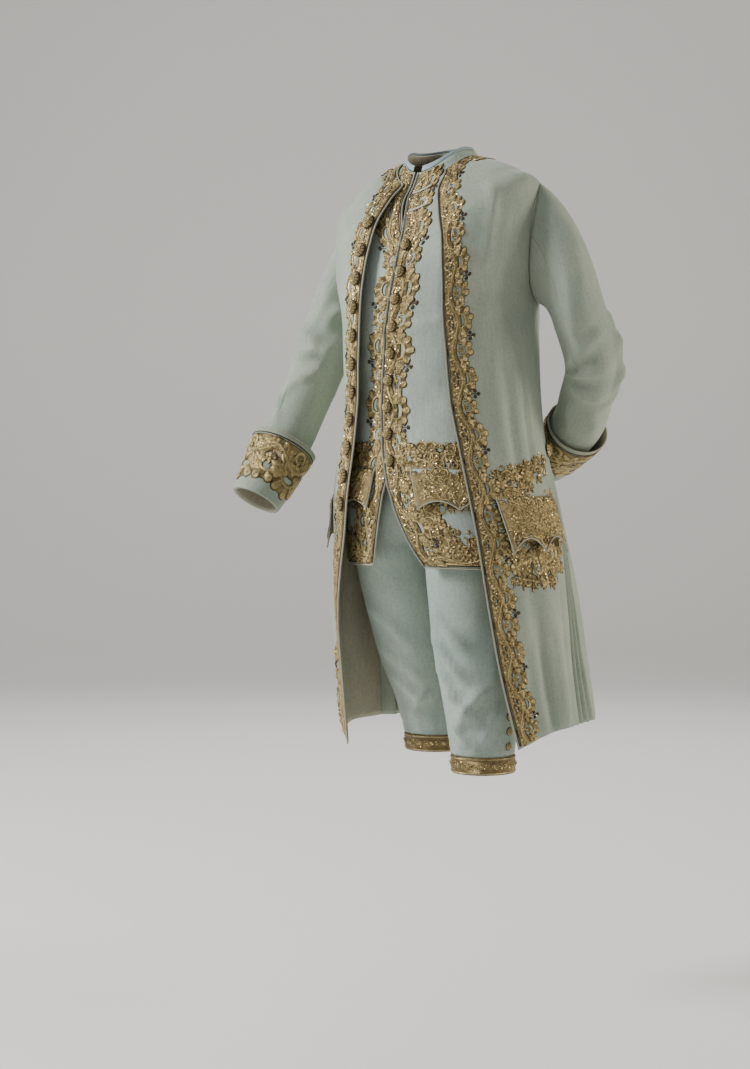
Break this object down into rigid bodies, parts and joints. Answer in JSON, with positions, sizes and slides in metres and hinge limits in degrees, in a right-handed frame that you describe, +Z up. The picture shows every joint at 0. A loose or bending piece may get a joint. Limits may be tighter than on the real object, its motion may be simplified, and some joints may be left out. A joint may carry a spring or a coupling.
{
  "type": "embroidered court suit",
  "caption": "Embroidered court suit, worn: open coat with deep cuffs and pleated skirts, buttoned waistcoat and knee breeches with gilt thread borders.",
  "frame": {"origin": "middle of the neck opening, level with the shoulders that carry the suit", "axes": "+Z up, -Y to the suit's front, +X to the wearer's left"},
  "size_m": [0.6146, 0.489, 1.0869],
  "materials": {
    "coat_wool": "fine matt wool with a short nap",
    "waistcoat_silk": "closely woven, with a slight sheen",
    "breeches_wool": "fine matt wool",
    "coat_silk": "smooth silk with a soft sheen",
    "back_linen": "plain matt linen",
    "facing_silk": "plain silk",
    "metal_thread": "raised embroidery in aged gilt thread"
  },
  "bodies": {
    "root": {"breeches_back_left": "breeches_wool", "breeches_back_right": "breeches_wool", "breeches_front_left": "breeches_wool", "breeches_front_right": "breeches_wool", "breeches_knee_band_left": "metal_thread", "breeches_knee_band_right": "metal_thread", "breeches_waistband": "breeches_wool", "coat_back_left": "coat_wool", "coat_back_right": "coat_wool", "coat_border_left": "metal_thread", "coat_border_right": "metal_thread", "coat_button_01": "metal_thread", "coat_button_02": "metal_thread", "coat_button_03": "metal_thread", "coat_button_04": "metal_thread", "coat_button_05": "metal_thread", "coat_button_06": "metal_thread", "coat_button_07": "metal_thread", "coat_button_08": "metal_thread", "coat_button_09": "metal_thread", "coat_button_10": "metal_thread", "coat_button_11": "metal_thread", "coat_cuff_left": "coat_wool", "coat_cuff_right": "coat_wool", "coat_flap_left": "metal_thread", "coat_flap_right": "metal_thread", "coat_front_left": "coat_wool", "coat_front_right": "coat_wool", "coat_lining_back_left": "coat_silk", "coat_lining_back_right": "coat_silk", "coat_lining_front_left": "coat_silk", "coat_lining_front_right": "coat_silk", "coat_pleats_left": "coat_wool", "coat_pleats_right": "coat_wool", "coat_pocket_field_left": "metal_thread", "coat_pocket_field_right": "metal_thread", "coat_sleeve_left_top": "coat_wool", "coat_sleeve_left_under": "coat_wool", "coat_sleeve_right_top": "coat_wool", "coat_sleeve_right_under": "coat_wool", "waistcoat_back": "back_linen", "waistcoat_border_left": "metal_thread", "waistcoat_border_right": "metal_thread", "waistcoat_button_01": "metal_thread", "waistcoat_button_02": "metal_thread", "waistcoat_button_03": "metal_thread", "waistcoat_button_04": "metal_thread", "waistcoat_button_05": "metal_thread", "waistcoat_button_06": "metal_thread", "waistcoat_button_07": "metal_thread", "waistcoat_button_08": "metal_thread", "waistcoat_button_09": "metal_thread", "waistcoat_flap_left": "metal_thread", "waistcoat_flap_right": "metal_thread", "waistcoat_front_left": "waistcoat_silk", "waistcoat_front_right": "waistcoat_silk", "waistcoat_neckband": "facing_silk", "waistcoat_skirt_field_left": "metal_thread", "waistcoat_skirt_field_right": "metal_thread"}
  },
  "joints": []
}
